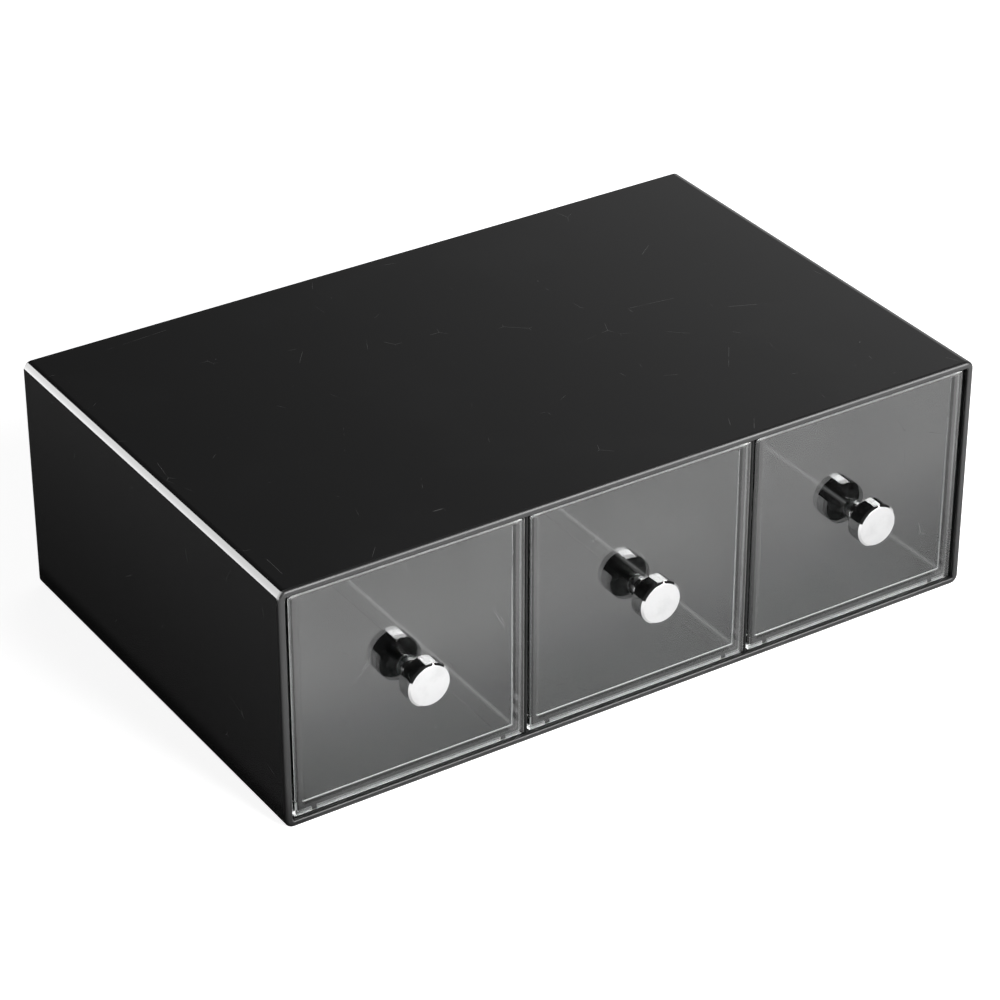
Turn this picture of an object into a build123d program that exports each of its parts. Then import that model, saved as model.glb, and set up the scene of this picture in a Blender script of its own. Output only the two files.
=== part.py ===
"""Countertop organizer: a gloss sleeve with three clear drawers side by side, each pulled by a turned knob.

Millimetres. The origin is the centre of the sleeve's underside, +X to the right, +Y to the back, +Z up.
The drawers are closed and slide out along -Y.
"""

import os

from build123d import *

# Sleeve: one moulded shell, open at the front
case_width = 260.0
case_depth = 166.0
case_height = 85.0
case_wall = 2.4
case_corner_radius = 3.0
cavity_corner_radius = 0.6
rim_outer_radius = 1.2
rim_inner_radius = 0.5
back_edge_radius = 0.4

# Dividers: thin sheets slid into grooves in the sleeve's floor, roof and back
divider_thickness = 0.9
divider_setback = 1.4
divider_edge_share = 0.4
groove_depth = 0.8
groove_clearance = 0.05

# Drawer fronts, and the gaps around them
drawer_names = ("left", "middle", "right")
divider_names = ("left", "right")
side_gap = 1.1
divider_clearance = 0.325
front_setback = 1.0
front_thickness = 2.0
front_floor_gap = 0.4
front_roof_gap = 0.6
front_corner_radius = 0.8
front_edge_radius = 0.7

# Trays behind the fronts, with glide ribs under them
tray_inset = 1.5
tray_wall = 2.0
tray_floor = 2.5
tray_top_drop = 2.0
tray_back_clearance = 0.4
tray_corner_radius = 1.0
tray_hollow_radius = 0.8
tray_lip_radius = 0.4
tray_base_radius = 0.8
glide_clearance = 0.3
glide_height = 1.1
glide_width = 1.8
glide_inset = 6.0
glide_back_gap = 5.0

# Knobs: a drum head on a waisted neck that stands on a stepped foot
knob_head_radius = 7.5
knob_head_length = 6.1
knob_face_bevel = 0.65
knob_back_edge = 0.4
knob_foot_radius = 3.2
knob_foot_length = 1.0
knob_groove_radius = 2.4
knob_groove_length = 0.4
knob_ring_radius = 2.9
knob_ring_length = 0.8
knob_waist_radius = 2.1
knob_waist_length = 2.5
knob_collar_radius = 2.9
knob_collar_length = 0.85
knob_bore_depth = 8.0

# Screws and washers that hold the knobs from inside the drawers
screw_radius = 1.5
screw_bore_clearance = 0.05
screw_hole_clearance = 0.2
screw_reach = 6.0
screw_head_radius = 2.8
screw_head_length = 2.0
screw_head_dome = 0.9
recess_width = 0.8
recess_length = 3.2
recess_depth = 1.1
washer_radius = 3.6
washer_thickness = 0.6

# How far from a place its faces and edges are still picked
pick_reach = 0.01

# Sleeve places
cavity_width = case_width - 2 * case_wall
cavity_height = case_height - 2 * case_wall
cavity_depth = case_depth - case_wall
front_plane = Plane.XZ.offset(case_depth / 2)
cavity_back = case_depth / 2 - case_wall
case_middle = case_height / 2

# Drawer places
front_gap = divider_thickness + 2 * divider_clearance
gap_count = len(drawer_names) - 1
front_width = (cavity_width - 2 * side_gap - gap_count * front_gap) / len(drawer_names)
front_bottom = case_wall + front_floor_gap
front_top = case_height - case_wall - front_roof_gap
front_height = front_top - front_bottom
front_middle = (front_top + front_bottom) / 2
front_face = front_setback - case_depth / 2
front_back = front_face + front_thickness
drawer_pitch = front_width + front_gap
drawer_places = [(i - gap_count / 2) * drawer_pitch for i in range(len(drawer_names))]
divider_places = [x + drawer_pitch / 2 for x in drawer_places[:-1]]

# Tray places
glide_bottom = case_wall + glide_clearance
tray_bottom = glide_bottom + glide_height
tray_top = front_top - tray_top_drop
tray_height = tray_top - tray_bottom
tray_width = front_width - 2 * tray_inset
tray_back = cavity_back - tray_back_clearance
tray_length = tray_back - front_back
tray_centre = (tray_back + front_back) / 2
hollow_width = tray_width - 2 * tray_wall
hollow_length = tray_length - tray_wall
hollow_back = front_back + hollow_length
hollow_centre = front_back + hollow_length / 2
hollow_floor = tray_bottom + tray_floor
glide_spread = tray_width - 2 * glide_inset
glide_length = tray_length - glide_back_gap
glide_centre = front_back + glide_length / 2

# Knob and screw places: the lengths run outwards from the drawer's front face
knob_neck_lengths = (
    knob_foot_length,
    knob_groove_length,
    knob_ring_length,
    knob_waist_length,
    knob_collar_length,
)
screw_hole_radius = screw_radius + screw_hole_clearance
screw_seat = front_back + washer_thickness


def make_case():
    """The sleeve: rounded along its length, hollow from the front, grooved for the dividers."""
    with BuildPart() as case:
        with BuildSketch(front_plane):
            with Locations((0, case_middle)):
                RectangleRounded(case_width, case_height, case_corner_radius)
        extrude(amount=-case_depth)
        with BuildSketch(front_plane):
            with Locations((0, case_middle)):
                RectangleRounded(cavity_width, cavity_height, cavity_corner_radius)
        extrude(amount=-cavity_depth, mode=Mode.SUBTRACT)
        fillet(case.faces().sort_by(Axis.Y)[0].outer_wire().edges(), rim_outer_radius)
        fillet(case.faces().sort_by(Axis.Y)[0].inner_wires()[0].edges(), rim_inner_radius)
        fillet(case.faces().sort_by(Axis.Y)[-1].outer_wire().edges(), back_edge_radius)
        with BuildSketch(front_plane.offset(-divider_setback)):
            with Locations(*[(x, case_middle) for x in divider_places]):
                Rectangle(divider_thickness + 2 * groove_clearance, cavity_height + 2 * groove_depth)
        extrude(amount=divider_setback - cavity_depth - groove_depth, mode=Mode.SUBTRACT)
    return case


def make_divider(x):
    """A sheet that stands in the floor groove and reaches into the roof and back grooves."""
    height = cavity_height + 2 * groove_depth - groove_clearance
    length = cavity_depth + groove_depth - groove_clearance - divider_setback
    with BuildPart() as divider:
        with BuildSketch(front_plane.offset(-divider_setback)):
            with Locations((x, case_wall - groove_depth + height / 2)):
                Rectangle(divider_thickness, height)
        extrude(amount=-length)
        front_edges = divider.faces().sort_by(Axis.Y)[0].edges().filter_by(Axis.Z)
        fillet(front_edges, divider_edge_share * divider_thickness)
    return divider


def picked(shapes, axis, first, last):
    """The faces or edges whose centres lie from one place to another along an axis."""
    return shapes.filter_by_position(axis, first - pick_reach, last + pick_reach)


def make_drawer(x):
    """A tray and its wider front in one piece, with two glide ribs and a hole for the knob's screw."""
    hollow_left = x - hollow_width / 2
    hollow_right = x + hollow_width / 2
    behind_front = front_back + 2 * pick_reach
    with BuildPart() as drawer:
        with BuildSketch(front_plane.offset(-front_setback)):
            with Locations((x, front_middle)):
                RectangleRounded(front_width, front_height, front_corner_radius)
        extrude(amount=-front_thickness)
        fillet(drawer.faces().sort_by(Axis.Y)[0].edges(), front_edge_radius)
        with BuildSketch(Plane.XY.offset(tray_bottom)):
            with Locations((x, tray_centre)):
                Rectangle(tray_width, tray_length)
        extrude(amount=tray_height)
        back_corners = drawer.edges().filter_by(Axis.Z).group_by(Axis.Y)[-1]
        fillet(back_corners, tray_corner_radius + tray_wall)
        with BuildSketch(Plane.XY.offset(hollow_floor)):
            with Locations((x, hollow_centre)):
                Rectangle(hollow_width, hollow_length)
        extrude(amount=tray_top - hollow_floor, mode=Mode.SUBTRACT)
        uprights = picked(drawer.edges().filter_by(Axis.Z), Axis.Y, front_back, hollow_back)
        fillet(picked(uprights, Axis.X, hollow_left, hollow_right), tray_corner_radius)
        floor_face = picked(drawer.faces().filter_by(Axis.Z), Axis.Z, hollow_floor, hollow_floor)
        fillet(floor_face.edges(), tray_hollow_radius)
        lip_face = picked(drawer.faces().filter_by(Axis.Z), Axis.Z, tray_top, tray_top)
        fillet(picked(lip_face.edges(), Axis.Y, behind_front, tray_back), tray_lip_radius)
        base_face = picked(drawer.faces().filter_by(Axis.Z), Axis.Z, tray_bottom, tray_bottom)
        fillet(picked(base_face.edges(), Axis.Y, behind_front, tray_back), tray_base_radius)
        with BuildSketch(Plane.XY.offset(tray_bottom)):
            with Locations((x - glide_spread / 2, glide_centre), (x + glide_spread / 2, glide_centre)):
                Rectangle(glide_width, glide_length)
        extrude(amount=-glide_height)
        with BuildSketch(Plane.XZ.offset(-front_back)):
            with Locations((x, front_middle)):
                Circle(screw_hole_radius)
        extrude(amount=front_thickness, mode=Mode.SUBTRACT)
    return drawer


def knob_outline():
    """Radius and distance from the drawer's front, from the foot out to the head's rim."""
    radii = (knob_foot_radius, knob_groove_radius, knob_ring_radius, knob_waist_radius, knob_collar_radius)
    points = [(0, 0)]
    out = 0
    for radius, length in zip(radii, knob_neck_lengths):
        points.append((radius, out))
        out += length
        points.append((radius, out))
    points.append((knob_head_radius, out))
    points.append((knob_head_radius, out + knob_head_length))
    points.append((0, out + knob_head_length))
    return points


def make_knob(x):
    """A turned knob with a blind bore for its screw."""
    axis_plane = Plane((x, front_face, front_middle), x_dir=(1, 0, 0), z_dir=(0, 0, 1))
    with BuildPart() as knob:
        with BuildSketch(axis_plane):
            with BuildLine():
                Polyline(*[(radius, -out) for radius, out in knob_outline()], close=True)
            make_face()
        revolve(axis=Axis((x, front_face, front_middle), (0, 1, 0)))
        rims = knob.edges().filter_by(GeomType.CIRCLE).sort_by(SortBy.RADIUS)[-2:]
        chamfer(rims.sort_by(Axis.Y)[0], knob_face_bevel)
        rims = knob.edges().filter_by(GeomType.CIRCLE).sort_by(SortBy.RADIUS)[-2:]
        fillet(rims.sort_by(Axis.Y)[-1], knob_back_edge)
        with BuildSketch(Plane.XZ.offset(-front_face)):
            with Locations((x, front_middle)):
                Circle(screw_radius + screw_bore_clearance)
        extrude(amount=knob_bore_depth, mode=Mode.SUBTRACT)
    return knob


def make_screw(x):
    """A pan head screw with a cross recess, driven from inside the drawer."""
    shank_length = washer_thickness + front_thickness + screw_reach
    with BuildPart() as screw:
        with BuildSketch(Plane.XZ.offset(-screw_seat)):
            with Locations((x, front_middle)):
                Circle(screw_head_radius)
        extrude(amount=-screw_head_length)
        fillet(screw.faces().sort_by(Axis.Y)[-1].edges(), screw_head_dome)
        with BuildSketch(Plane.XZ.offset(-screw_seat - screw_head_length)):
            with Locations((x, front_middle)):
                Rectangle(recess_length, recess_width)
                Rectangle(recess_width, recess_length)
        extrude(amount=recess_depth, mode=Mode.SUBTRACT)
        with BuildSketch(Plane.XZ.offset(-screw_seat)):
            with Locations((x, front_middle)):
                Circle(screw_radius)
        extrude(amount=shank_length)
    return screw


def make_washer(x):
    """A flat washer between the screw's head and the drawer's front."""
    with BuildPart() as washer:
        with BuildSketch(Plane.XZ.offset(-front_back)):
            with Locations((x, front_middle)):
                Circle(washer_radius)
                Circle(screw_hole_radius, mode=Mode.SUBTRACT)
        extrude(amount=-washer_thickness)
    return washer


def write(piece, label):
    """Names a finished piece and writes its file."""
    piece.part.label = label
    export_step(piece.part, f"parts/{label}.step")


os.makedirs("parts", exist_ok=True)
write(make_case(), "case")
for name, x in zip(divider_names, divider_places):
    write(make_divider(x), f"divider_{name}")
for name, x in zip(drawer_names, drawer_places):
    write(make_drawer(x), f"drawer_{name}")
    write(make_knob(x), f"knob_{name}")
    write(make_screw(x), f"knob_screw_{name}")
    write(make_washer(x), f"knob_washer_{name}")
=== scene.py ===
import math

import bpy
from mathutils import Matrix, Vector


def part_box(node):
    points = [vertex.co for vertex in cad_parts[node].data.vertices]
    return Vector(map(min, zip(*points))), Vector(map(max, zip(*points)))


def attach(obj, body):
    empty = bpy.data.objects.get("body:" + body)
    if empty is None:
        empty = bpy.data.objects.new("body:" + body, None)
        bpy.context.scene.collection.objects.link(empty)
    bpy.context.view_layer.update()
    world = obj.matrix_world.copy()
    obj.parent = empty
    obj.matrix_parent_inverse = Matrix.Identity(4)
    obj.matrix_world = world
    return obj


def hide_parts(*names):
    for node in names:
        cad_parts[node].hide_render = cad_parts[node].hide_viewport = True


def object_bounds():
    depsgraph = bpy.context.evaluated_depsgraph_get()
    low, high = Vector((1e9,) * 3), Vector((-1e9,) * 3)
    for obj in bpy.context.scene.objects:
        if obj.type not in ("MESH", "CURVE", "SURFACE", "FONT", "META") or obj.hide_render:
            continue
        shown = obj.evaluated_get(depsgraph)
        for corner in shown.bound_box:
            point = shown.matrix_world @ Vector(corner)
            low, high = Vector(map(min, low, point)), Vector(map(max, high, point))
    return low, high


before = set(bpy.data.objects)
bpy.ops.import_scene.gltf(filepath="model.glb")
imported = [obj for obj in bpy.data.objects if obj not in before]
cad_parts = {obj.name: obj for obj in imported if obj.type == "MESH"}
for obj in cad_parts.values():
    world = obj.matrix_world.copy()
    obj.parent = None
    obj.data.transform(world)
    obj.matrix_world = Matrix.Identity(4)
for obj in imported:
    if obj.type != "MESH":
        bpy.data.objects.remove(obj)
cad_low, cad_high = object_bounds()

# Looks of a countertop organizer: a gloss black sleeve with three clear drawers and turned chrome knobs.
# Metres, in the frame of the solids: +X to the right along the drawer fronts, +Y to the back, +Z up.

scene = bpy.context.scene
drawer_names = ("left", "middle", "right")
mm = 0.001

# Camera: where the picture is taken from, solved on the sleeve's corners
picture_width_px = 1000
focal_length_px = 3645.4
sensor_width_mm = 36.0
view_azimuth = math.radians(-32.80)
view_elevation = math.radians(31.06)
view_distance = 1.2082
view_target = Vector((0.0004, 0.0, 0.0324))

# Floor: its paint, and the light that it adds for the camera and for rays through clear plastic.
# Mirrored rays see a painted pool of light ahead of the fronts, and painted shade beside the left face.
floor_half_side = 5.0
floor_white = 0.92
floor_roughness = 0.9
floor_glow = 0.90
floor_through_glow = 0.30
# Painted light: a glow that mirrored rays see on the floor ahead of the fronts
floor_painted_light_pool = (0.90, 0.68)
floor_painted_light_sides = (-0.06, 0.14)
floor_painted_light_reach = 0.08
# Painted shade: a dim glow that mirrored rays see beside the left face, in place of the lit floor
floor_painted_shade = (0.05, 0.125)
floor_painted_shade_reach = 0.09
# Painted contact shadow: that dim glow falls further within a few millimetres of the left face
floor_painted_contact_shadow = (0.0035, 0.0070)
floor_painted_contact_shadow_share = 0.35
floor_soft_edge = 0.02
first_bounce = 0.5

# World: a dim room with a broad glow low on the right
world_dim = 0.05
world_glow = 3.8
world_glow_most = 1.0
world_glow_direction = Vector((0.966, 0.259, 0.0)).normalized()
world_glow_edge = 0.5
world_glow_heights = (0.30, 0.65)
world_glow_backs = (0.0, 0.35)

# Softbox: the point it faces, the direction from there, its distance, its size and its radiance
softbox_target = Vector((0.0, 0.0, 0.04))
softbox_direction = (0.39, -0.84, 0.37)
softbox_distance = 1.5
softbox_size = (1.15, 1.0)
softbox_radiance = 12.0

# Edge strip: its distance from the sleeve, its ends, its heights, and the ray lengths where it fades out
edge_strip_gap = 0.002
edge_strip_ends = (-0.084, 0.097)
edge_strip_heights = (0.0820, 0.0948)
edge_strip_radiance = 10.5
edge_strip_reach = (0.020, 0.012)

# Rub marks: how they bend, and the patches in which they show
mark_bend_scale = 9.0
mark_bend = 0.006
mark_patch_scale = 85.0
mark_patch_level = 0.72
mark_patch_share = 0.4
mark_patch_edge = 0.08

# Dust and film: the smallest speck, a speck's solid core, and the noise levels of clean and handled parts
speck_least = 0.2
speck_core = 0.4
film_levels = (0.42, 0.68)

# Finishes: colours of the surface and of its marks, roughness of clean and of handled parts, the roughness
# that a rub mark adds, and the depth of the ripple
black_ior = 1.52
black_colours = ((0.0130, 0.0130, 0.0132), (0.095, 0.095, 0.095))
black_roughness = (0.07, 0.13)
black_mark_roughness = 0.25
black_ripple = 0.06 * mm
sheet_colours = ((0.009, 0.009, 0.009), (0.020, 0.020, 0.020))
sheet_roughness = (0.50, 0.62)
sheet_specular = 0.15
sheet_ripple = 0.03 * mm
clear_ior = 1.57
clear_colours = ((0.95, 0.965, 0.96), (0.99, 0.99, 0.99))
clear_roughness = (0.015, 0.045)
clear_mark_roughness = 0.26
clear_ripple = 0.05 * mm
clear_shadow = (0.86, 0.88, 0.875, 1.0)
chrome_colours = ((0.56, 0.56, 0.562), (0.52, 0.52, 0.522))
chrome_roughness = (0.03, 0.07)
chrome_mark_roughness = 0.15
chrome_ripple = 0.006 * mm
zinc_colours = ((0.64, 0.645, 0.65), (0.52, 0.525, 0.53))
zinc_roughness = (0.24, 0.42)
zinc_mark_roughness = 0.12
zinc_ripple = 0.008 * mm

# Sleeve: its front rim, duller than the faces
case_front = -83.0 * mm
rim_depth = 1.35 * mm
rim_solid_depth = 0.85 * rim_depth
rim_roughness = 0.26

# Drawers: where the tray's walls and floor meet the front
drawer_pitch = 84.85 * mm
hollow_half_width = 38.15 * mm
tray_half_width = 40.15 * mm
hollow_floor = 6.3 * mm
tray_bottom = 3.8 * mm
front_face = -82.0 * mm
front_back = -80.0 * mm
plate_half_width = 41.65 * mm
plate_bottom = 2.8 * mm
plate_top = 82.0 * mm
plate_edge = 1.0 * mm

# Drawers: how the border, the corners and the edges of tray and front look, and the painted highlights along
# their joint
border_edge = 0.35 * mm
border_coat = 0.9
border_coat_roughness = 0.03
smudge_coat = 0.09
corner_roughness = 0.60
corner_fade = (80.0 * mm, 10.0 * mm)
corner_top_share = 0.35
edge_roughness = 0.30
# Painted highlights: how strongly the joint's lines glow, how far the corner line reaches, and how much of
# each shows
painted_highlight_strength = 0.18
highlight_line_reach = 0.7 * mm
highlight_line_share = 0.45
right_edge_highlight_share = 0.7

# Knob outline: radius, length and the two edge roundings of each turned step, from the foot out to the head
knob_steps = (
    (3.2 * mm, 1.0 * mm, 0.20 * mm, 0.25 * mm),
    (2.4 * mm, 0.4 * mm, 0.10 * mm, 0.10 * mm),
    (2.9 * mm, 0.8 * mm, 0.25 * mm, 0.25 * mm),
    (2.1 * mm, 2.5 * mm, 0.25 * mm, 0.25 * mm),
    (2.9 * mm, 0.85 * mm, 0.20 * mm, 0.15 * mm),
    (7.5 * mm, 5.45 * mm, 0.40 * mm, 0.10 * mm),
)
knob_bevel = 0.65 * mm
knob_bevel_rounding = 0.10 * mm
knob_bore_radius = 1.55 * mm
knob_bore_depth = 8.0 * mm
knob_bore_rounding = 0.1 * mm
knob_support = 0.04 * mm
knob_spine = 1.0 * mm
knob_weld = 0.001 * mm
knob_sides = 96
knob_arc_points = 6


def feed(tree, node, values):
    """Sets a node's inputs by name, or links them to other nodes' sockets."""
    for name, value in values.items():
        if isinstance(value, bpy.types.NodeSocket):
            tree.links.new(value, node.inputs[name])
        else:
            node.inputs[name].default_value = value


def place(tree, kind, feeds=None, **settings):
    """Adds a node, sets its properties and feeds its inputs."""
    node = tree.nodes.new(kind)
    for name, value in settings.items():
        setattr(node, name, value)
    feed(tree, node, feeds or {})
    return node


def math_node(tree, operation, first, second=0.0):
    return place(tree, "ShaderNodeMath", {0: first, 1: second}, operation=operation).outputs[0]


def ramp(tree, value, low, high, to_low=0.0, to_high=1.0):
    """A smooth step of a value from one range to another."""
    feeds = {"Value": value, "From Min": low, "From Max": high, "To Min": to_low, "To Max": to_high}
    return place(tree, "ShaderNodeMapRange", feeds, interpolation_type="SMOOTHSTEP").outputs["Result"]


def noise(tree, where, scale, detail):
    feeds = {"Vector": where, "Scale": scale, "Detail": detail}
    return place(tree, "ShaderNodeTexNoise", feeds).outputs


def new_group(name, inputs, outputs):
    """A shader node group with named sockets, and its input and output nodes."""
    group = bpy.data.node_groups.new(name, "ShaderNodeTree")
    for socket_name, socket_type, value in inputs:
        socket = group.interface.new_socket(socket_name, in_out="INPUT", socket_type=socket_type)
        if value is not None:
            socket.default_value = value
    for socket_name, socket_type in outputs:
        group.interface.new_socket(socket_name, in_out="OUTPUT", socket_type=socket_type)
    return group, group.nodes.new("NodeGroupInput").outputs, group.nodes.new("NodeGroupOutput").inputs


def make_hairline_marks():
    """Fine straight rub marks, broken up so that only some of them show."""
    group, given, result = new_group(
        "hairline_marks",
        [
            ("Vector", "NodeSocketVector", None),
            ("Scale", "NodeSocketFloat", 30.0),
            ("Width", "NodeSocketFloat", 0.004),
            ("Share", "NodeSocketFloat", 0.3),
        ],
        [("Marks", "NodeSocketFloat")],
    )
    bent = noise(group, given["Vector"], mark_bend_scale, 1.0)
    feeds = {0: bent["Color"], "Scale": mark_bend}
    shift = place(group, "ShaderNodeVectorMath", feeds, operation="SCALE").outputs[0]
    moved = place(group, "ShaderNodeVectorMath", {0: given["Vector"], 1: shift}, operation="ADD").outputs[0]
    feeds = {"Vector": moved, "Scale": given["Scale"]}
    cells = place(group, "ShaderNodeTexVoronoi", feeds, feature="DISTANCE_TO_EDGE")
    lines = ramp(group, cells.outputs["Distance"], given["Width"], 0.0)
    patches = noise(group, given["Vector"], mark_patch_scale, 2.0)
    lowered = math_node(group, "MULTIPLY", given["Share"], mark_patch_share)
    threshold = math_node(group, "SUBTRACT", mark_patch_level, lowered)
    upper = math_node(group, "ADD", threshold, mark_patch_edge)
    shown = ramp(group, patches["Fac"], threshold, upper)
    group.links.new(math_node(group, "MULTIPLY", lines, shown), result["Marks"])
    return group


def make_dust_specks():
    """Small pale specks, in a share of the cells of a fine pattern."""
    group, given, result = new_group(
        "dust_specks",
        [
            ("Vector", "NodeSocketVector", None),
            ("Scale", "NodeSocketFloat", 180.0),
            ("Size", "NodeSocketFloat", 0.06),
            ("Share", "NodeSocketFloat", 0.1),
        ],
        [("Specks", "NodeSocketFloat")],
    )
    cells = place(group, "ShaderNodeTexVoronoi", {"Vector": given["Vector"], "Scale": given["Scale"]})
    random = place(group, "ShaderNodeSeparateColor", {"Color": cells.outputs["Color"]}).outputs
    size = math_node(group, "MULTIPLY", given["Size"], math_node(group, "ADD", random["Green"], speck_least))
    dots = ramp(group, cells.outputs["Distance"], size, math_node(group, "MULTIPLY", size, speck_core))
    kept = math_node(group, "LESS_THAN", random["Red"], given["Share"])
    group.links.new(math_node(group, "MULTIPLY", dots, kept), result["Specks"])
    return group


def make_handling_film():
    """Soft patches of handling film, and the slow ripple that moulding leaves in a flat face."""
    group, given, result = new_group(
        "handling_film",
        [
            ("Vector", "NodeSocketVector", None),
            ("Scale", "NodeSocketFloat", 22.0),
            ("Ripple Scale", "NodeSocketFloat", 14.0),
        ],
        [("Film", "NodeSocketFloat"), ("Ripple", "NodeSocketFloat")],
    )
    film = noise(group, given["Vector"], given["Scale"], 5.0)
    ripple = noise(group, given["Vector"], given["Ripple Scale"], 0.0)
    group.links.new(ramp(group, film["Fac"], *film_levels), result["Film"])
    group.links.new(ripple["Fac"], result["Ripple"])
    return group


def make_tray_joint():
    """Where a tray meets its front: border, corner lines, outer edges, and the painted highlights that glow
    faintly.
    """
    group, given, result = new_group(
        "tray_joint",
        [("Vector", "NodeSocketVector", None)],
        [
            ("Border", "NodeSocketFloat"),
            ("Corner", "NodeSocketFloat"),
            ("Edge", "NodeSocketFloat"),
            ("Painted Highlight", "NodeSocketFloat"),
        ],
    )

    def both(first, second):
        return math_node(group, "MULTIPLY", first, second)

    def either(first, second):
        return math_node(group, "MAXIMUM", first, second)

    # Places across the drawer, which repeat from drawer to drawer
    x, y, z = place(group, "ShaderNodeSeparateXYZ", {0: given["Vector"]}).outputs
    feeds = {0: x, 1: drawer_pitch / 2, 2: -drawer_pitch / 2}
    aside = place(group, "ShaderNodeMath", feeds, operation="WRAP").outputs[0]
    across = math_node(group, "ABSOLUTE", aside)

    # The border on the front's face, where walls and floor stand behind it
    inside = ramp(group, across, tray_half_width + border_edge, tray_half_width - border_edge)
    wall = ramp(group, across, hollow_half_width - border_edge, hollow_half_width + border_edge)
    floor = ramp(group, z, hollow_floor + border_edge, hollow_floor - border_edge)
    above = ramp(group, z, tray_bottom - border_edge, tray_bottom + border_edge)
    behind = both(either(wall, floor), inside)
    at_face = ramp(group, y, front_face + 2 * border_edge, front_face + border_edge)
    group.links.new(both(both(behind, above), at_face), result["Border"])

    # The inner corners along the floor and the right wall
    low = ramp(group, z, hollow_floor + 3 * border_edge, hollow_floor + 2 * border_edge)
    right = ramp(group, aside, hollow_half_width - 3 * border_edge, hollow_half_width - 2 * border_edge)
    right = both(right, ramp(group, z, *corner_fade, corner_top_share, 1.0))
    near = ramp(group, y, front_back + 3 * border_edge, front_back + 2 * border_edge)
    past = ramp(group, y, front_face + 3 * border_edge, front_face + 4 * border_edge)
    lit = both(both(near, past), both(inside, above))
    group.links.new(both(either(low, right), lit), result["Corner"])

    # The top and bottom edges of the front
    from_bottom = math_node(group, "SUBTRACT", z, plate_bottom)
    from_top = math_node(group, "SUBTRACT", plate_top, z)
    nearest = math_node(group, "MINIMUM", from_bottom, from_top)
    edge = ramp(group, nearest, plate_edge, plate_edge - border_edge)
    off_sides = ramp(group, across, plate_half_width - 3 * border_edge, plate_half_width - 4 * border_edge)
    plate = ramp(group, y, front_back + 2 * border_edge, front_back + border_edge)
    group.links.new(both(both(edge, off_sides), plate), result["Edge"])

    # Painted highlight lines: along the tray's lower right corner, and along the front's right edge
    from_wall = math_node(group, "SUBTRACT", hollow_half_width, aside)
    from_floor = math_node(group, "SUBTRACT", z, hollow_floor)
    corner_highlight_line = both(ramp(group, from_wall, highlight_line_reach, 0.0), ramp(group, from_floor, highlight_line_reach, 0.0))
    back = ramp(group, y, front_back + 4 * border_edge, front_back + 8 * border_edge)
    corner_highlight_line = both(both(both(corner_highlight_line, back), both(inside, above)), highlight_line_share)
    right_edge_highlight = ramp(group, aside, plate_half_width - 2 * border_edge, plate_half_width - border_edge)
    on_plate = ramp(group, nearest, -border_edge, 0.0)
    right_edge_highlight = both(both(right_edge_highlight, at_face), both(on_plate, right_edge_highlight_share))
    # Painted highlight: these lines and the floor corner glow, though no lamp is there
    glow = either(both(low, lit), either(corner_highlight_line, right_edge_highlight))
    group.links.new(glow, result["Painted Highlight"])
    return group


def new_material(name):
    """An empty material with its Principled shader, its output and the object's own coordinates."""
    material = bpy.data.materials.new(name)
    material.use_nodes = True
    tree = material.node_tree
    tree.nodes.clear()
    shader = tree.nodes.new("ShaderNodeBsdfPrincipled")
    output = tree.nodes.new("ShaderNodeOutputMaterial")
    tree.links.new(shader.outputs[0], output.inputs["Surface"])
    where = tree.nodes.new("ShaderNodeTexCoord").outputs["Object"]
    return material, tree, shader, output, where


def use_marks(tree, groups, where, scale, width, share):
    feeds = {"Vector": where, "Scale": scale, "Width": width, "Share": share}
    return place(tree, "ShaderNodeGroup", feeds, node_tree=groups["marks"]).outputs["Marks"]


def use_specks(tree, groups, where, scale, size, share):
    feeds = {"Vector": where, "Scale": scale, "Size": size, "Share": share}
    return place(tree, "ShaderNodeGroup", feeds, node_tree=groups["specks"]).outputs["Specks"]


def use_film(tree, groups, where, scale, ripple_scale):
    feeds = {"Vector": where, "Scale": scale, "Ripple Scale": ripple_scale}
    outputs = place(tree, "ShaderNodeGroup", feeds, node_tree=groups["film"]).outputs
    return outputs["Film"], outputs["Ripple"]


def mixed_colour(tree, share, first, second):
    node = place(tree, "ShaderNodeMix", {0: share}, data_type="RGBA")
    node.inputs["A"].default_value = (*first, 1.0)
    node.inputs["B"].default_value = (*second, 1.0)
    return node.outputs["Result"]


def bumped(tree, height, distance):
    return place(tree, "ShaderNodeBump", {"Height": height, "Distance": distance}).outputs["Normal"]


def worn_roughness(tree, film, clean_and_handled, added):
    """Roughness that goes from clean to handled with the film, and more where something adds to it."""
    return math_node(tree, "ADD", ramp(tree, film, 0.0, 1.0, *clean_and_handled), added)


def make_black_gloss(groups):
    """Moulded gloss black plastic with fine rub marks, dust and handling film, and a duller front rim."""
    material, tree, shader, _, where = new_material("black_gloss_plastic")
    marks = use_marks(tree, groups, where, scale=38.0, width=0.004, share=0.33)
    specks = use_specks(tree, groups, where, scale=170.0, size=0.05, share=0.07)
    film, ripple = use_film(tree, groups, where, scale=20.0, ripple_scale=16.0)
    pale = math_node(tree, "MAXIMUM", marks, specks)
    y = place(tree, "ShaderNodeSeparateXYZ", {0: where}).outputs["Y"]
    rim = ramp(tree, y, case_front + rim_depth, case_front + rim_solid_depth, 0.0, rim_roughness)
    worn = math_node(tree, "MAXIMUM", rim, math_node(tree, "MULTIPLY", pale, black_mark_roughness))
    feed(
        tree,
        shader,
        {
            "Base Color": mixed_colour(tree, pale, *black_colours),
            "Roughness": worn_roughness(tree, film, black_roughness, worn),
            "IOR": black_ior,
            "Normal": bumped(tree, ripple, black_ripple),
        },
    )
    return material


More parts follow.
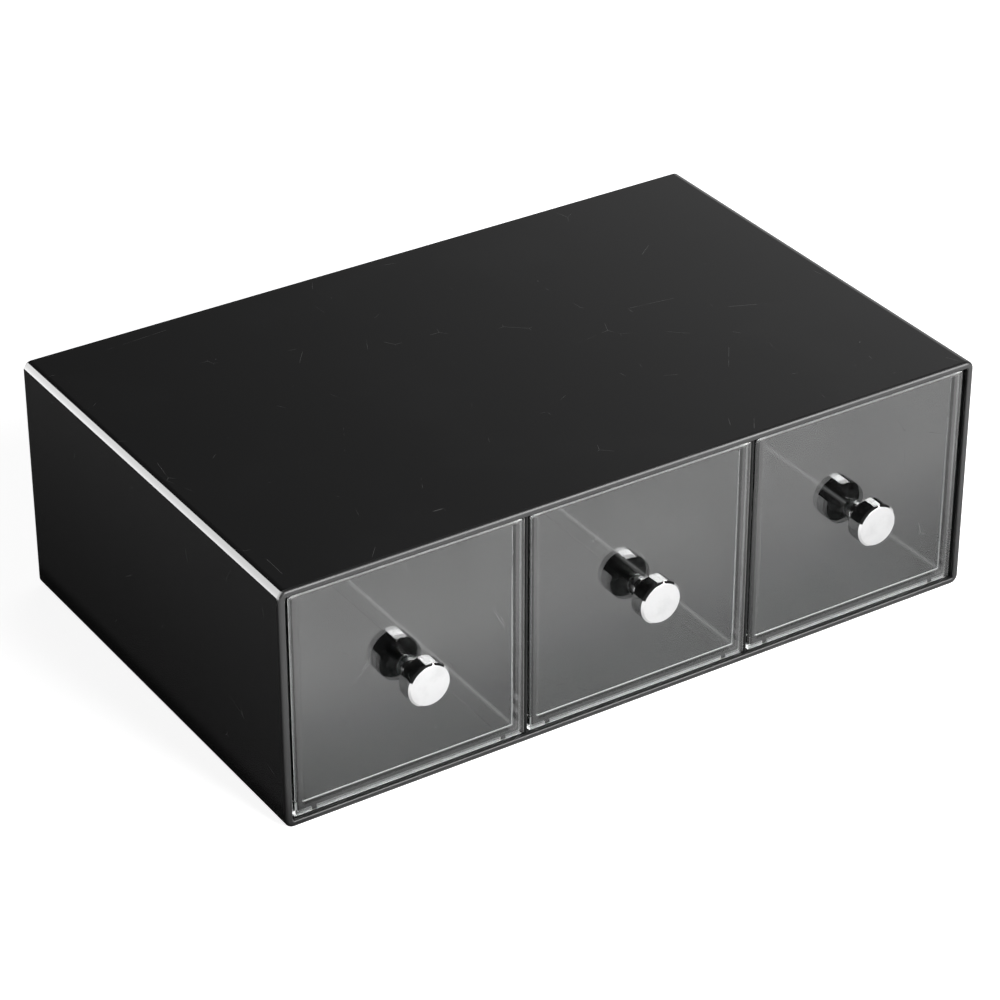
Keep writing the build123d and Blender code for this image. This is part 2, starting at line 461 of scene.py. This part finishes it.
def make_dull_black(groups):
    """Black sheet, dull from sawing, lightly scuffed."""
    material, tree, shader, _, where = new_material("dull_black_sheet")
    marks = use_marks(tree, groups, where, scale=120.0, width=0.01, share=0.4)
    film, ripple = use_film(tree, groups, where, scale=60.0, ripple_scale=40.0)
    feed(
        tree,
        shader,
        {
            "Base Color": mixed_colour(tree, marks, *sheet_colours),
            "Roughness": ramp(tree, film, 0.0, 1.0, *sheet_roughness),
            "IOR": black_ior,
            "Specular IOR Level": sheet_specular,
            "Normal": bumped(tree, ripple, sheet_ripple),
        },
    )
    return material


def make_clear_plastic(groups):
    """Clear moulded plastic with rub marks, dust and smudges, and painted highlight lines that glow where
    tray and front meet.
    """
    material, tree, shader, output, where = new_material("clear_plastic")
    marks = use_marks(tree, groups, where, scale=46.0, width=0.004, share=0.28)
    specks = use_specks(tree, groups, where, scale=210.0, size=0.05, share=0.08)
    film, ripple = use_film(tree, groups, where, scale=26.0, ripple_scale=30.0)
    joint = place(tree, "ShaderNodeGroup", {"Vector": where}, node_tree=groups["joint"]).outputs
    pale = math_node(tree, "MAXIMUM", marks, specks)
    rubbed = math_node(tree, "MULTIPLY", pale, clear_mark_roughness)
    corner = math_node(tree, "MULTIPLY", joint["Corner"], corner_roughness)
    edge = math_node(tree, "MULTIPLY", joint["Edge"], edge_roughness)
    worn = math_node(tree, "MAXIMUM", math_node(tree, "MAXIMUM", rubbed, corner), edge)
    border = math_node(tree, "MULTIPLY", joint["Border"], border_coat)
    smudge = math_node(tree, "MULTIPLY", film, smudge_coat)
    feed(
        tree,
        shader,
        {
            "Base Color": mixed_colour(tree, pale, *clear_colours),
            "Roughness": worn_roughness(tree, film, clear_roughness, worn),
            "IOR": clear_ior,
            "Transmission Weight": 1.0,
            "Coat Weight": math_node(tree, "MAXIMUM", border, smudge),
            "Coat IOR": clear_ior,
            "Coat Roughness": border_coat_roughness,
            # Painted highlight: the joint's lines glow faintly, though no lamp is there
            "Emission Color": mixed_colour(tree, joint["Painted Highlight"], (0.0, 0.0, 0.0), (1.0, 1.0, 1.0)),
            "Emission Strength": painted_highlight_strength,
            "Normal": bumped(tree, ripple, clear_ripple),
        },
    )
    shadow_ray = tree.nodes.new("ShaderNodeLightPath").outputs["Is Shadow Ray"]
    through = place(tree, "ShaderNodeBsdfTransparent", {"Color": clear_shadow})
    feeds = {0: shadow_ray, 1: shader.outputs[0], 2: through.outputs[0]}
    lit = place(tree, "ShaderNodeMixShader", feeds)
    tree.links.new(lit.outputs[0], output.inputs["Surface"])
    return material


def finish_metal(tree, shader, marks, film, ripple, colours, roughness, mark_roughness, depth):
    """Feeds a metal's shader: film changes its colour and roughness, and rub marks make it rougher."""
    worn = math_node(tree, "MULTIPLY", marks, mark_roughness)
    feed(
        tree,
        shader,
        {
            "Base Color": mixed_colour(tree, film, *colours),
            "Metallic": 1.0,
            "Roughness": worn_roughness(tree, film, roughness, worn),
            "Normal": bumped(tree, ripple, depth),
        },
    )


def make_chrome(groups):
    """Bright plating with faint polishing marks."""
    material, tree, shader, _, where = new_material("bright_chrome")
    marks = use_marks(tree, groups, where, scale=260.0, width=0.012, share=0.5)
    film, ripple = use_film(tree, groups, where, scale=160.0, ripple_scale=120.0)
    values = (chrome_colours, chrome_roughness, chrome_mark_roughness, chrome_ripple)
    finish_metal(tree, shader, marks, film, ripple, *values)
    return material


def make_zinc(groups):
    """Zinc plated steel: dull, with pale and dark patches."""
    material, tree, shader, _, where = new_material("zinc_plated_steel")
    marks = use_marks(tree, groups, where, scale=420.0, width=0.02, share=0.7)
    film, ripple = use_film(tree, groups, where, scale=400.0, ripple_scale=300.0)
    values = (zinc_colours, zinc_roughness, zinc_mark_roughness, zinc_ripple)
    finish_metal(tree, shader, marks, film, ripple, *values)
    return material


def knob_outline():
    """An open line of edges around half of the knob's section, with the rounding of each corner."""
    corners = [
        (0.0, knob_bore_depth, 0.0),
        (knob_bore_radius, knob_bore_depth, 0.0),
        (knob_bore_radius, 0.0, knob_bore_rounding),
    ]
    out = 0.0
    for radius, length, near_rounding, far_rounding in knob_steps:
        corners += [(radius, out, near_rounding), (radius, out + length, far_rounding)]
        out += length
    corners.append((radius - knob_bevel, out + knob_bevel, knob_bevel_rounding))
    corners.append((0.0, out + knob_bevel, 0.0))
    points = []
    roundings = []
    for first, second in zip(corners, corners[1:]):
        start, end = Vector(first[:2]), Vector(second[:2])
        length = (end - start).length
        points.append(start)
        roundings.append(first[2])
        supports = [first[2] + knob_support, length - second[2] - knob_support]
        if supports[0] < supports[1]:
            points += [start.lerp(end, along / length) for along in supports]
            roundings += [0.0, 0.0]
    points.append(Vector(corners[-1][:2]))
    roundings.append(0.0)
    outline = bpy.data.meshes.new("knob_outline")
    edges = [(index, index + 1) for index in range(len(points) - 1)]
    outline.from_pydata([(point.x - knob_spine, point.y, 0.0) for point in points], edges, [])
    outline.attributes.new("rounding", "FLOAT", "POINT").data.foreach_set("value", roundings)
    return outline


def make_knob_tree():
    """Turns an outline about an axis: rounds its corners, sweeps it around a ring and sets it in place."""
    tree = bpy.data.node_groups.new("turned_knob", "GeometryNodeTree")
    sockets = {
        "Outline": "NodeSocketGeometry",
        "Sides": "NodeSocketInt",
        "Arc Points": "NodeSocketInt",
        "Spine": "NodeSocketFloat",
        "Place": "NodeSocketVector",
        "Finish": "NodeSocketMaterial",
    }
    for name, kind in sockets.items():
        tree.interface.new_socket(name, in_out="INPUT", socket_type=kind)
    tree.interface.new_socket("Knob", in_out="OUTPUT", socket_type="NodeSocketGeometry")
    given = tree.nodes.new("NodeGroupInput").outputs
    result = tree.nodes.new("NodeGroupOutput").inputs
    line = place(tree, "GeometryNodeMeshToCurve", {"Mesh": given["Outline"]}).outputs["Curve"]
    rounding = place(tree, "GeometryNodeInputNamedAttribute", {"Name": "rounding"}, data_type="FLOAT")
    feeds = {
        "Curve": line,
        "Count": given["Arc Points"],
        "Radius": rounding.outputs[0],
        "Limit Radius": True,
    }
    section = place(tree, "GeometryNodeFilletCurve", feeds, mode="POLY").outputs["Curve"]
    feeds = {"Resolution": given["Sides"], "Radius": given["Spine"]}
    ring = place(tree, "GeometryNodeCurvePrimitiveCircle", feeds).outputs["Curve"]
    feeds = {"Curve": ring, "Profile Curve": section}
    swept = place(tree, "GeometryNodeCurveToMesh", feeds).outputs["Mesh"]
    feeds = {"Geometry": swept, "Distance": knob_weld}
    whole = place(tree, "GeometryNodeMergeByDistance", feeds).outputs[0]
    feeds = {"Geometry": whole, "Translation": given["Place"], "Rotation": (-math.pi / 2, 0.0, 0.0)}
    placed = place(tree, "GeometryNodeTransform", feeds).outputs["Geometry"]
    smooth = place(tree, "GeometryNodeSetShadeSmooth", {"Geometry": placed}).outputs["Geometry"]
    real = place(tree, "GeometryNodeRealizeInstances", {"Geometry": smooth}).outputs["Geometry"]
    feeds = {"Geometry": real, "Material": given["Finish"]}
    done = place(tree, "GeometryNodeSetMaterial", feeds).outputs["Geometry"]
    tree.links.new(done, result["Knob"])
    return tree


def make_knobs(finish):
    """One turned knob on each drawer, in the place of the plain one."""
    outline = knob_outline()
    tree = make_knob_tree()
    identifiers = {item.name: item.identifier for item in tree.interface.items_tree}
    for name in drawer_names:
        low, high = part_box(f"knob_{name}")
        values = {
            "Sides": knob_sides,
            "Arc Points": knob_arc_points,
            "Spine": knob_spine,
            "Place": ((low.x + high.x) / 2, high.y, (low.z + high.z) / 2),
            "Finish": finish,
        }
        source = bpy.data.objects.new("knob_source", outline)
        scene.collection.objects.link(source)
        modifier = source.modifiers.new("turned_knob", "NODES")
        modifier.node_group = tree
        for socket_name, value in values.items():
            modifier[identifiers[socket_name]] = value
        turned = source.evaluated_get(bpy.context.evaluated_depsgraph_get())
        mesh = bpy.data.meshes.new_from_object(turned)
        bpy.data.objects.remove(source)
        mesh.name = f"turned_knob_{name}"
        knob = bpy.data.objects.new(f"turned_knob_{name}", mesh)
        scene.collection.objects.link(knob)
        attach(knob, f"drawer_{name}")
        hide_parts(f"knob_{name}")


def straight_view(tree):
    """One where the camera looks straight on or only through clear plastic, and nought past any bounce."""
    path = tree.nodes.new("ShaderNodeLightPath").outputs
    bounces = math_node(tree, "ADD", path["Glossy Depth"], path["Diffuse Depth"])
    unbounced = math_node(tree, "LESS_THAN", bounces, first_bounce)
    through = math_node(tree, "MULTIPLY", path["Is Transmission Ray"], unbounced)
    return math_node(tree, "MAXIMUM", path["Is Camera Ray"], through)


def make_floor_white():
    """A pale matt floor: white in the picture; where other surfaces mirror it, it is lit and shaded, with a
    painted pool of light ahead of the fronts and painted shade beside the left face.
    """
    material, tree, shader, output, where = new_material("studio_floor")
    paint = {
        "Base Color": (floor_white, floor_white, floor_white, 1.0),
        "Roughness": floor_roughness,
        "Specular IOR Level": 0.0,
    }
    feed(tree, shader, paint)
    path = tree.nodes.new("ShaderNodeLightPath").outputs
    glow = ramp(tree, path["Is Camera Ray"], 0.0, 1.0, floor_through_glow, floor_glow)
    glow = place(tree, "ShaderNodeEmission", {"Strength": glow})
    white = place(tree, "ShaderNodeAddShader", {0: shader.outputs[0], 1: glow.outputs[0]})
    x, y, _ = place(tree, "ShaderNodeSeparateXYZ", {0: where}).outputs
    front_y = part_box("case")[0].y
    ahead = math_node(tree, "SUBTRACT", front_y, y)
    left = math_node(tree, "SUBTRACT", cad_low.x, x)
    # Painted pool of light: emission added to the floor ahead of the fronts, for mirrored rays only
    painted_pool = ramp(tree, x, *floor_painted_light_sides, *floor_painted_light_pool)
    painted_pool = math_node(tree, "MULTIPLY", painted_pool, ramp(tree, ahead, 0.0, floor_painted_light_reach))
    painted_pool = place(tree, "ShaderNodeEmission", {"Strength": painted_pool})
    bright = place(tree, "ShaderNodeAddShader", {0: shader.outputs[0], 1: painted_pool.outputs[0]})
    # Painted shade beside the left face, with a painted contact shadow at its foot: a dim glow that stands
    # in for the lit floor
    painted_shade = ramp(tree, left, 0.0, floor_painted_shade_reach, *floor_painted_shade)
    painted_shade = math_node(tree, "MULTIPLY", painted_shade, ramp(tree, left, *floor_painted_contact_shadow, floor_painted_contact_shadow_share, 1.0))
    painted_shade = place(tree, "ShaderNodeEmission", {"Strength": painted_shade})
    beside = ramp(tree, left, -floor_soft_edge, 0.0)
    behind = ramp(tree, ahead, floor_soft_edge, 0.0)
    corner = math_node(tree, "MULTIPLY", beside, behind)
    mirrored = place(tree, "ShaderNodeMixShader", {0: corner, 1: bright.outputs[0], 2: painted_shade.outputs[0]})
    bounced = math_node(tree, "MAXIMUM", path["Is Glossy Ray"], path["Is Transmission Ray"])
    feeds = {0: bounced, 1: shader.outputs[0], 2: mirrored.outputs[0]}
    plain = place(tree, "ShaderNodeMixShader", feeds)
    feeds = {0: straight_view(tree), 1: plain.outputs[0], 2: white.outputs[0]}
    mix = place(tree, "ShaderNodeMixShader", feeds)
    tree.links.new(mix.outputs[0], output.inputs["Surface"])
    return material


def flat_sheet(name, corners, material):
    """A single face with four corners, in the scene."""
    mesh = bpy.data.meshes.new(name)
    mesh.from_pydata(corners, [], [(0, 1, 2, 3)])
    mesh.materials.append(material)
    sheet = bpy.data.objects.new(name, mesh)
    scene.collection.objects.link(sheet)
    return sheet


def make_floor():
    side = floor_half_side
    corners = [(-side, -side, 0), (side, -side, 0), (side, side, 0), (-side, side, 0)]
    floor = flat_sheet("studio_floor", corners, make_floor_white())


def make_world():
    """A dim room with a broad soft glow on the right. Seen straight on it is white, as the floor is."""
    world = bpy.data.worlds.new("studio")
    scene.world = world
    world.use_nodes = True
    tree = world.node_tree
    tree.nodes.clear()
    direction = tree.nodes.new("ShaderNodeTexCoord").outputs["Generated"]
    feeds = {0: direction, 1: world_glow_direction}
    facing = place(tree, "ShaderNodeVectorMath", feeds, operation="DOT_PRODUCT").outputs["Value"]
    feeds = {"Value": facing, "From Min": world_glow_edge, "From Max": 1.0}
    near = place(tree, "ShaderNodeMapRange", feeds).outputs["Result"]
    _, depth, height = place(tree, "ShaderNodeSeparateXYZ", {0: direction}).outputs
    low, high = world_glow_heights
    feeds = {"Value": height, "From Min": high, "From Max": low}
    lowness = place(tree, "ShaderNodeMapRange", feeds).outputs["Result"]
    lowness = math_node(tree, "MULTIPLY", lowness, ramp(tree, depth, *world_glow_backs))
    glow = math_node(tree, "MULTIPLY", math_node(tree, "MULTIPLY", near, near), lowness)
    glow = math_node(tree, "MINIMUM", math_node(tree, "MULTIPLY", glow, world_glow), world_glow_most)
    light = math_node(tree, "ADD", glow, world_dim)
    strength = place(tree, "ShaderNodeMix", {0: straight_view(tree), 2: light, 3: 1.0}).outputs[0]
    background = place(tree, "ShaderNodeBackground", {"Strength": strength})
    output = tree.nodes.new("ShaderNodeOutputWorld")
    tree.links.new(background.outputs[0], output.inputs["Surface"])


def make_softbox():
    """A large soft lamp at the front right, which the camera doesn't see."""
    width, height = softbox_size
    lamp = bpy.data.lights.new("softbox", "AREA")
    lamp.shape = "RECTANGLE"
    lamp.size = width
    lamp.size_y = height
    lamp.energy = softbox_radiance * math.pi * width * height
    towards = Vector(softbox_direction).normalized()
    holder = bpy.data.objects.new("softbox", lamp)
    holder.location = softbox_target + towards * softbox_distance
    holder.rotation_euler = (-towards).to_track_quat("-Z", "Y").to_euler()
    holder.visible_camera = False
    scene.collection.objects.link(holder)


def make_strip_light():
    """Light that only short rays see, and that isn't sampled as a lamp."""
    material = bpy.data.materials.new("edge_strip")
    material.use_nodes = True
    material.cycles.emission_sampling = "NONE"
    tree = material.node_tree
    tree.nodes.clear()
    length = tree.nodes.new("ShaderNodeLightPath").outputs["Ray Length"]
    glow = place(tree, "ShaderNodeEmission", {"Strength": edge_strip_radiance})
    through = place(tree, "ShaderNodeBsdfTransparent")
    feeds = {0: ramp(tree, length, *edge_strip_reach), 1: through.outputs[0], 2: glow.outputs[0]}
    mix = place(tree, "ShaderNodeMixShader", feeds)
    output = tree.nodes.new("ShaderNodeOutputMaterial")
    tree.links.new(mix.outputs[0], output.inputs["Surface"])
    return material


def make_edge_strip():
    """A bright strip close to the left top edge: it shows only in the sheen of that edge."""
    x = cad_low.x - edge_strip_gap
    front, back = edge_strip_ends
    bottom, top = edge_strip_heights
    corners = [(x, front, bottom), (x, back, bottom), (x, back, top), (x, front, top)]
    strip = flat_sheet("edge_strip", corners, make_strip_light())
    strip.visible_camera = False
    strip.visible_diffuse = False
    strip.visible_transmission = False
    strip.visible_shadow = False


def make_camera():
    """A plain camera at the photograph's viewing angle."""
    data = bpy.data.cameras.new("picture_camera")
    data.sensor_width = sensor_width_mm
    data.lens = focal_length_px / picture_width_px * sensor_width_mm
    camera = bpy.data.objects.new("picture_camera", data)
    back = Vector(
        (
            math.sin(view_azimuth) * math.cos(view_elevation),
            -math.cos(view_azimuth) * math.cos(view_elevation),
            math.sin(view_elevation),
        )
    )
    camera.location = view_target + back * view_distance
    camera.rotation_euler = (-back).to_track_quat("-Z", "Y").to_euler()
    scene.collection.objects.link(camera)
    scene.camera = camera


scene.view_settings.view_transform = "Standard"
make_camera()
make_floor()
make_world()
make_softbox()
make_edge_strip()

shared = {
    "marks": make_hairline_marks(),
    "specks": make_dust_specks(),
    "film": make_handling_film(),
    "joint": make_tray_joint(),
}
finishes = {
    "black_gloss": make_black_gloss(shared),
    "divider": make_dull_black(shared),
    "clear_plastic": make_clear_plastic(shared),
    "chrome": make_chrome(shared),
    "zinc_steel": make_zinc(shared),
}
for node_name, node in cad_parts.items():
    for slot in node.material_slots:
        slot_name = slot.material.name.split(".")[0]
        slot.material = finishes["divider" if node_name.startswith("divider") else slot_name]

make_knobs(finishes["chrome"])
